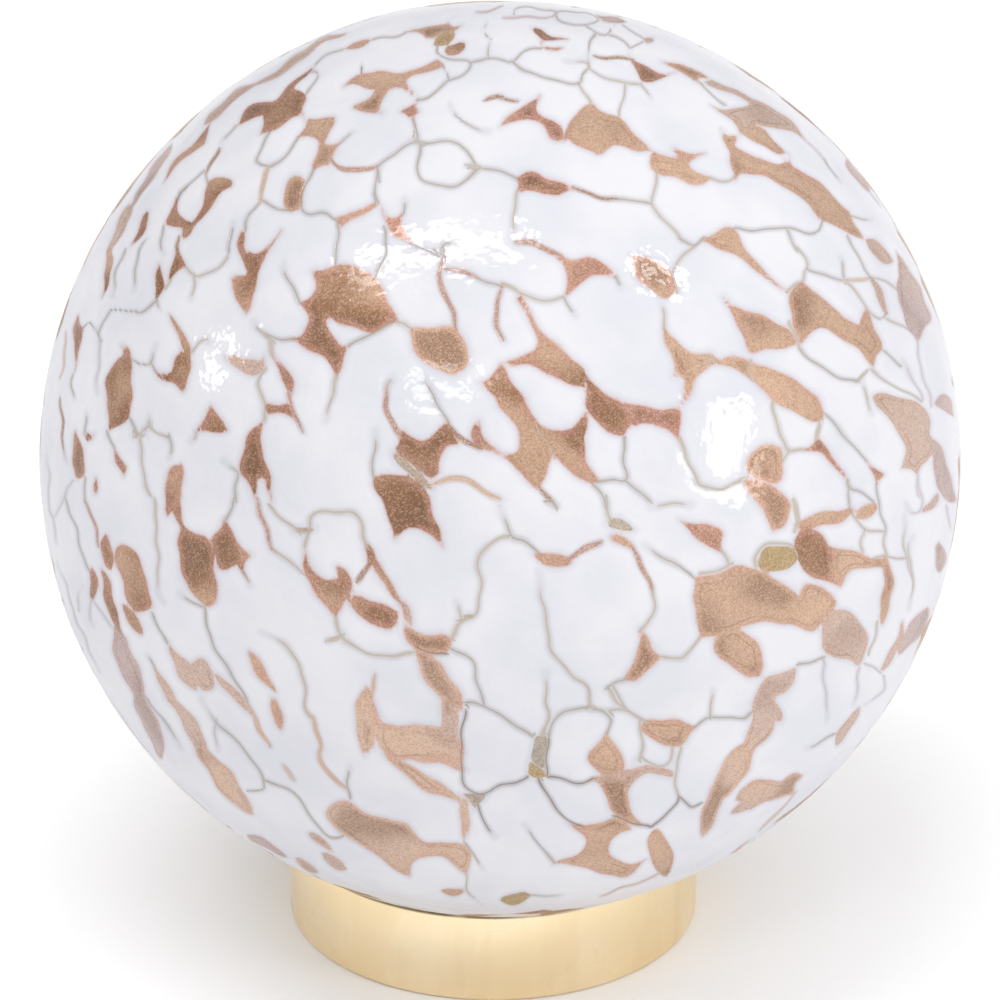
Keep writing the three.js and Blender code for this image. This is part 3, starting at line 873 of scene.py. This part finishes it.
def make_globe():
    ball = bmesh.new()
    bmesh.ops.create_cube(ball, size=2.0)
    bmesh.ops.subdivide_edges(ball, edges=ball.edges[:], cuts=GLOBE_CUTS, use_grid_fill=True)
    places = cast_to_globe(np.array([vert.co[:] for vert in ball.verts]))
    for vert, place in zip(ball.verts, places):
        vert.co = place
    everything = ball.verts[:] + ball.edges[:] + ball.faces[:]
    bmesh.ops.bisect_plane(ball, geom=everything, dist=RING_SLACK, plane_co=(0, 0, SEAT_HEIGHT),
                           plane_no=(0, 0, 1), clear_inner=True)
    for face in ball.faces:
        face.smooth = True

    rim = [edge for edge in ball.edges if edge.is_boundary]
    neck = ((NECK_RADIUS, SEAT_HEIGHT), (NECK_RADIUS, NECK_BOTTOM), (MOUTH_RADIUS, NECK_BOTTOM))
    for radius, height in neck:
        for edge in rim:
            edge.smooth = False
        rim = drawn_out(ball, rim, radius, height)
    inner = GLOBE_HALF - GLASS_WALL
    mouth_angle = -math.acos(MOUTH_RADIUS / inner[0])
    for edge in rim:
        edge.smooth = False
    for number in range(INNER_STEPS):
        angle = mouth_angle + (math.pi / 2 - mouth_angle) * number / INNER_STEPS
        height = GLOBE_CENTRE[2] + inner[2] * math.sin(angle)
        rim = drawn_out(ball, rim, inner[0] * math.cos(angle), height)
    top = list({vert for edge in rim for vert in edge.verts})
    top_place = GLOBE_CENTRE + np.array([0.0, 0.0, inner[2]])
    bmesh.ops.pointmerge(ball, verts=top, merge_co=Vector(top_place))
    for face in ball.faces:
        face.smooth = True
    bmesh.ops.recalc_face_normals(ball, faces=ball.faces[:])

    mesh = bpy.data.meshes.new("globe_glass")
    ball.to_mesh(mesh)
    ball.free()
    return mesh


def dress_globe(mesh):
    """Lays the pattern on the mesh, raises the relief, and turns millimetres into metres."""
    count = len(mesh.vertices)
    places = np.empty(count * 3)
    mesh.vertices.foreach_get("co", places)
    places = places.reshape(-1, 3)
    raised, numbers, colours = glass_pattern(places)
    from_centre = (places - GLOBE_CENTRE) / GLOBE_HALF
    on_outside = np.linalg.norm(from_centre, axis=1) > OUTSIDE_FROM
    outside = on_outside & (places[:, 2] > SEAT_HEIGHT - SEAT_SLACK)
    places = np.where(outside[:, None], raised, places)
    mesh.vertices.foreach_set("co", (places * MM).ravel())
    for name, values in numbers.items():
        mesh.attributes.new(name, "FLOAT", "POINT").data.foreach_set("value", values)
    for name, values in colours.items():
        mesh.attributes.new(name, "FLOAT_COLOR", "POINT").data.foreach_set("color", values.ravel())
    mesh.update()


# Building the base
BASE_STEPS = 160
RIM_ROUND = 0.8
LIP_ROUND = 0.4
FOOT_ROUND = 0.6
ROUND_STEPS = 5
WELD = 0.001


def ring_edges(shape, radius, height):
    """The edges of the ring at this radius and height."""
    found = []
    for edge in shape.edges:
        off = [max(abs(math.hypot(vert.co.x, vert.co.y) - radius), abs(vert.co.z - height))
               for vert in edge.verts]
        if max(off) < RING_SLACK:
            found.append(edge)
    return found


def make_base():
    cup = bmesh.new()
    bore = BASE_RADIUS - BASE_WALL
    profile = [(0, 0), (BASE_RADIUS, 0), (BASE_RADIUS, BASE_HEIGHT),
               (bore, BASE_HEIGHT), (bore, BASE_FLOOR), (0, BASE_FLOOR)]
    corners = [cup.verts.new((radius, 0.0, height)) for radius, height in profile]
    sides = [cup.edges.new(pair) for pair in zip(corners[:-1], corners[1:])]
    bmesh.ops.spin(cup, geom=corners + sides, cent=(0, 0, 0), axis=(0, 0, 1), angle=TURN,
                   steps=BASE_STEPS, use_merge=True, use_duplicate=False)
    bmesh.ops.remove_doubles(cup, verts=cup.verts[:], dist=WELD)
    rounds = ((BASE_RADIUS, BASE_HEIGHT, RIM_ROUND), (bore, BASE_HEIGHT, LIP_ROUND),
              (BASE_RADIUS, 0, FOOT_ROUND))
    for radius, height, size in rounds:
        bmesh.ops.bevel(cup, geom=ring_edges(cup, radius, height), offset=size, offset_type="OFFSET",
                        segments=ROUND_STEPS, profile=0.5, affect="EDGES", material=-1)
    bmesh.ops.recalc_face_normals(cup, faces=cup.faces[:])
    for face in cup.faces:
        face.smooth = True
    for edge in ring_edges(cup, bore, BASE_FLOOR):
        edge.smooth = False
    bmesh.ops.scale(cup, vec=(MM, MM, MM), verts=cup.verts[:])
    mesh = bpy.data.meshes.new("base_brass")
    cup.to_mesh(mesh)
    cup.free()
    return mesh


# Small helpers for the materials
def shader(tree, kind, inputs=None, **settings):
    """Adds a node, sets its options, and sets or links its inputs."""
    made = tree.nodes.new(kind)
    for name, value in settings.items():
        setattr(made, name, value)
    for socket, value in (inputs or {}).items():
        if isinstance(value, bpy.types.NodeSocket):
            tree.links.new(value, made.inputs[socket])
        else:
            made.inputs[socket].default_value = value
    return made


def maths(tree, operation, first, second=0.0):
    return shader(tree, "ShaderNodeMath", {0: first, 1: second}, operation=operation).outputs[0]


def between(tree, value, low, high, to_low=0.0, to_high=1.0):
    """A soft step of the value from low to high."""
    made = shader(tree, "ShaderNodeMapRange", {0: value, 1: low, 2: high, 3: to_low, 4: to_high},
                  interpolation_type="SMOOTHSTEP")
    return made.outputs[0]


def mixed(tree, share, first, second):
    made = shader(tree, "ShaderNodeMix", {0: share, 6: first, 7: second}, data_type="RGBA")
    return made.outputs[2]


def layer(tree, name, output="Fac"):
    return shader(tree, "ShaderNodeAttribute", attribute_name=name).outputs[output]


def noise(tree, place, scale, detail=2.0, roughness=0.5):
    made = shader(tree, "ShaderNodeTexNoise", {"Vector": place, "Scale": scale, "Detail": detail,
                                               "Roughness": roughness})
    return made.outputs["Fac"]


def new_material(name):
    material = bpy.data.materials.new(name)
    material.use_nodes = True
    tree = material.node_tree
    tree.nodes.clear()
    return material, tree


def finished(tree, surface):
    shader(tree, "ShaderNodeOutputMaterial", {"Surface": surface.outputs[0]})


# How many times a metre each noise in the glass repeats
GRAIN = 1500.0
FLAKES = 5200.0
CLOUDS = 70.0
POOLS = 68.0
DRIFT = 130.0
BREAKS = 95.0
BLUSH = 170.0
WRINKLES = 260.0


def mottled_glass():
    """Opal chips over copper-flecked glass, under a clear gloss."""
    material, tree = new_material("mottled_glass")
    place = shader(tree, "ShaderNodeTexCoord").outputs["Object"]
    grain = maths(tree, "SUBTRACT", noise(tree, place, GRAIN, 2.0), 0.5)
    edge = maths(tree, "ADD", layer(tree, "edge"), maths(tree, "MULTIPLY", grain, 0.24))
    flakes = shader(tree, "ShaderNodeTexVoronoi", {"Vector": place, "Scale": FLAKES}).outputs["Color"]
    flake = shader(tree, "ShaderNodeSeparateColor", {0: flakes}).outputs[0]

    # White chips, clouded, with painted shade towards their edges where their domes round over
    patchy = noise(tree, place, CLOUDS, 3.0)
    white = mixed(tree, between(tree, patchy, 0.3, 0.7), OPAL, OPAL_SHADE)
    chip_depth = maths(tree, "MINIMUM", edge, layer(tree, "nearest_seam"))
    # Painted shade: the chips turn greyer within 1.5 mm of copper or a seam, as their domed edges would be
    # shaded
    white = mixed(tree, between(tree, chip_depth, 1.5, 0.0, 0.0, 0.50), white, CHIP_EDGE_PAINTED_SHADE)

    # Copper glass: its own colour, deeper in cloudy places and along fine contours, redder at its rim
    copper = layer(tree, "tint", "Color")
    rim = layer(tree, "tint", "Alpha")
    inward = maths(tree, "MULTIPLY", between(tree, edge, -0.2, -1.2), rim)
    pooled = noise(tree, place, POOLS, 1.5)
    deep = maths(tree, "MULTIPLY", between(tree, pooled, 0.47, 0.62, 0.0, 0.80), inward)
    copper = mixed(tree, deep, copper, COPPER_DEEP)
    golden = maths(tree, "MULTIPLY", between(tree, pooled, 0.50, 0.34, 0.0, 0.62), rim)
    copper = mixed(tree, golden, copper, COPPER_GOLD)
    drift = between(tree, noise(tree, place, DRIFT, 1.0), 0.25, 0.75, 0.7, 1.6)
    inset = maths(tree, "ABSOLUTE", maths(tree, "ADD", edge, drift))
    broken = between(tree, noise(tree, place, BREAKS, 2.0), 0.46, 0.60)
    contour = maths(tree, "MULTIPLY", between(tree, inset, 0.26, 0.03), broken)
    copper = mixed(tree, maths(tree, "MULTIPLY", contour, 0.42), copper, COPPER_DEEP)
    reddish = maths(tree, "MULTIPLY", between(tree, edge, -1.5, -0.4, 0.0, 0.50), rim)
    reddish = maths(tree, "MULTIPLY", reddish, between(tree, noise(tree, place, BLUSH, 2.0), 0.36, 0.56))
    copper = mixed(tree, reddish, copper, COPPER_RED)
    copper = mixed(tree, between(tree, flake, 0.5, 1.0, 0.0, 0.30), copper, FLAKE_LIGHT)
    copper = mixed(tree, between(tree, flake, 0.5, 0.0, 0.0, 0.30), copper, FLAKE_DARK)
    copper_share = between(tree, edge, 0.12, -0.22)
    rim_share = maths(tree, "MULTIPLY", between(tree, edge, 0.50, 0.0, 0.0, 0.65), rim)
    rim_share = maths(tree, "MULTIPLY", rim_share, between(tree, flake, 0.0, 0.8, 0.35, 1.0))

    # Seams between the white chips: a fine line in a soft shade
    seam = 0.0
    shade = 0.0
    for number in range(SEAM_LAYERS):
        half = layer(tree, f"seam_half_{number}")
        aside = maths(tree, "ABSOLUTE", layer(tree, f"seam_side_{number}"))
        beside = maths(tree, "SUBTRACT", aside, maths(tree, "MULTIPLY", half, 0.50))
        real = maths(tree, "MULTIPLY", between(tree, layer(tree, f"seam_gap_{number}"), 0.85, 0.6),
                     between(tree, half, 0.01, 0.09))
        line = maths(tree, "MULTIPLY", between(tree, beside, 0.13, -0.06), real)
        soft = maths(tree, "MULTIPLY", between(tree, beside, 0.9, 0.0, 0.0, 0.40), real)
        seam = maths(tree, "MAXIMUM", line, seam)
        shade = maths(tree, "MAXIMUM", soft, shade)

    seam_tint = layer(tree, "seam_tint", "Color")
    glitter = between(tree, flake, 0.4, 1.0, 0.0, 0.5)
    glitter = maths(tree, "MULTIPLY", glitter, layer(tree, "seam_tint", "Alpha"))
    seam_tint = mixed(tree, glitter, seam_tint, FLAKE_LIGHT)
    colour = mixed(tree, rim_share, white, RIM_PINK)
    colour = mixed(tree, shade, colour, seam_tint)
    colour = mixed(tree, copper_share, colour, copper)
    colour = mixed(tree, maths(tree, "MULTIPLY", seam, 0.75), colour, seam_tint)

    # Fine relief: the wrinkles of blown glass, grooves along the seams, and the flakes
    wrinkled = noise(tree, place, WRINKLES, 2.0, 0.6)
    height = maths(tree, "MULTIPLY", wrinkled, 0.8)
    height = maths(tree, "SUBTRACT", height, maths(tree, "MULTIPLY", seam, 0.24))
    flaked = maths(tree, "MULTIPLY", flake, copper_share)
    height = maths(tree, "ADD", height, maths(tree, "MULTIPLY", flaked, 0.025))
    bump = shader(tree, "ShaderNodeBump", {"Strength": 0.7, "Distance": 0.00036, "Height": height})

    gloss = shader(tree, "ShaderNodeBsdfPrincipled", {
        "Base Color": colour,
        "Metallic": maths(tree, "MULTIPLY", copper_share, 0.35),
        "Roughness": between(tree, copper_share, 0.0, 1.0, 0.28, 0.42),
        "Specular IOR Level": 0.0,
        "Coat Weight": 0.3,
        "Coat Roughness": 0.07,
        "Coat IOR": 1.9,
        "Normal": bump.outputs[0],
        "Coat Normal": bump.outputs[0],
    })
    finished(tree, gloss)
    return material


BRASS_LIGHT = linear(251, 232, 196)
BRASS_WARM = linear(246, 224, 182)
BRASS_STREAK = linear(232, 203, 156)
BRASS_SPECK = linear(222, 198, 158)
# Painted shade and painted reflection: a dark band just under the base's top stands in for the shadow
# under the glass and the shaded glass that the rim reflects
BRASS_PAINTED_SHADE = linear(112, 92, 58)
PAINTED_SHADE_DEPTHS = (0.85, 0.45)   # millimetres below the base's top between which it darkens


def satin_brass():
    """Pale satin brass: soft upright streaks and clouds, with painted shade in a band just under its top,
    where it tucks under the glass.
    """
    material, tree = new_material("satin_brass")
    place = shader(tree, "ShaderNodeTexCoord").outputs["Object"]
    upright = shader(tree, "ShaderNodeMapping", {"Vector": place, "Scale": (1.0, 1.0, 0.12)}).outputs[0]
    streaks = noise(tree, upright, 160.0, 3.0, 0.55)
    clouds = noise(tree, place, 55.0, 3.0)
    specks = noise(tree, place, 2600.0, 2.0)
    colour = mixed(tree, between(tree, clouds, 0.3, 0.7), BRASS_LIGHT, BRASS_WARM)
    colour = mixed(tree, between(tree, streaks, 0.45, 0.75, 0.0, 0.35), colour, BRASS_STREAK)
    colour = mixed(tree, between(tree, specks, 0.60, 0.75, 0.0, 0.12), colour, BRASS_SPECK)
    height_up = shader(tree, "ShaderNodeSeparateXYZ", {0: place}).outputs["Z"]
    # Painted shade: the band just under the top darkens, in patches, towards the colour above
    painted_shade = between(tree, height_up, (BASE_HEIGHT - PAINTED_SHADE_DEPTHS[0]) * MM, (BASE_HEIGHT - PAINTED_SHADE_DEPTHS[1]) * MM)
    painted_shade_patches = between(tree, noise(tree, place, 130.0, 2.0), 0.35, 0.55, 0.5, 1.0)
    painted_shade = maths(tree, "MULTIPLY", painted_shade, painted_shade_patches)
    colour = mixed(tree, maths(tree, "MULTIPLY", painted_shade, 0.85), colour, BRASS_PAINTED_SHADE)
    bump = shader(tree, "ShaderNodeBump", {"Strength": 0.02, "Distance": 0.0001, "Height": streaks})
    metal = shader(tree, "ShaderNodeBsdfPrincipled", {
        "Base Color": colour,
        "Metallic": 1.0,
        "Roughness": between(tree, clouds, 0.3, 0.7, 0.24, 0.34),
        "Normal": bump.outputs[0],
    })
    finished(tree, metal)
    return material


def pale_floor():
    material, tree = new_material("pale_floor")
    place = shader(tree, "ShaderNodeTexCoord").outputs["Object"]
    colour = mixed(tree, noise(tree, place, 3.0), (0.95, 0.95, 0.95, 1.0), (0.97, 0.97, 0.97, 1.0))
    finished(tree, shader(tree, "ShaderNodeBsdfDiffuse", {"Color": colour}))
    return material


def add_piece(name, mesh, material):
    piece = bpy.data.objects.new(name, mesh)
    bpy.context.scene.collection.objects.link(piece)
    mesh.materials.append(material)
    return piece


# The pieces
globe_mesh = make_globe()
dress_globe(globe_mesh)
globe = add_piece("mottled_globe", globe_mesh, mottled_glass())
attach(globe, "root")
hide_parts("glass_globe")

base = add_piece("brass_ring_base", make_base(), satin_brass())
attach(base, "root")
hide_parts("brass_base")

# The floor
FLOOR_HALF = 6.0
FLOOR_DROP = 0.0001
floor_shape = bmesh.new()
bmesh.ops.create_grid(floor_shape, x_segments=1, y_segments=1, size=FLOOR_HALF)
floor_mesh = bpy.data.meshes.new("floor")
floor_shape.to_mesh(floor_mesh)
floor_shape.free()
floor = add_piece("floor", floor_mesh, pale_floor())
floor.location.z = -FLOOR_DROP

# Light: a white room, brightest above, in front and to the right, and softboxes whose reflections fall
# where the photograph has its highlights
ROOM_BRIGHT_SIDE = (0.42, -0.25, 0.87)
ROOM_DIM = 0.36
ROOM_BRIGHT = 1.02
LAMP_AWAY = 3000.0
world = bpy.data.worlds.new("white_room")
world.use_nodes = True
room = world.node_tree
direction = shader(room, "ShaderNodeTexCoord").outputs["Generated"]
facing = shader(room, "ShaderNodeVectorMath", {0: direction, 1: ROOM_BRIGHT_SIDE}, operation="DOT_PRODUCT")
backdrop = room.nodes["Background"]
backdrop.inputs["Color"].default_value = (1.0, 1.0, 1.0, 1.0)
brightness = between(room, facing.outputs["Value"], -1.0, 1.0, ROOM_DIM, ROOM_BRIGHT)
room.links.new(brightness, backdrop.inputs["Strength"])
bpy.context.scene.world = world


def softbox(name, right, up, near, size, glow):
    """A rectangular light in a direction counted from the camera's view, of the given brightness."""
    direction = right * np.array([1.0, 0.0, 0.0]) + up * VIEW_UP - near * VIEW_FORWARD
    direction /= np.linalg.norm(direction)
    lamp = bpy.data.lights.new(name, "AREA")
    lamp.shape = "RECTANGLE"
    lamp.size = size[0]
    lamp.size_y = size[1]
    lamp.energy = glow * math.pi * size[0] * size[1]
    holder = bpy.data.objects.new(name, lamp)
    bpy.context.scene.collection.objects.link(holder)
    holder.location = Vector((GLOBE_CENTRE + direction * LAMP_AWAY) * MM)
    side = np.array([1.0, 0.0, 0.0]) - direction[0] * direction
    side /= np.linalg.norm(side)
    rise = np.cross(direction, side)
    holder.rotation_euler = Matrix(np.column_stack([side, rise, direction]).tolist()).to_euler()


softbox("key_softbox", -0.23, 0.77, 0.585, (1.9, 0.42), 9.5)
softbox("right_softbox", 0.83, 0.06, 0.55, (0.7, 1.05), 6.8)
softbox("left_softbox", -0.92, 0.32, 0.23, (0.34, 0.5), 8.5)
softbox("upper_right_softbox", 0.58, 0.67, 0.47, (0.4, 0.25), 14.0)
softbox("front_softbox", -0.20, 0.31, 0.92, (0.9, 0.28), 6.5)

# The camera
camera_data = bpy.data.cameras.new("camera")
camera_data.sensor_fit = "HORIZONTAL"
camera_data.sensor_width = SENSOR
camera_data.lens = FOCAL_PIXELS * SENSOR / PICTURE
camera_data.clip_end = 50.0
camera = bpy.data.objects.new("camera", camera_data)
bpy.context.scene.collection.objects.link(camera)
camera.location = Vector(CAMERA_PLACE * MM)
camera.rotation_euler = (math.pi / 2 - CAMERA_TILT, 0.0, 0.0)
bpy.context.scene.camera = camera
bpy.context.scene.view_settings.view_transform = "Standard"
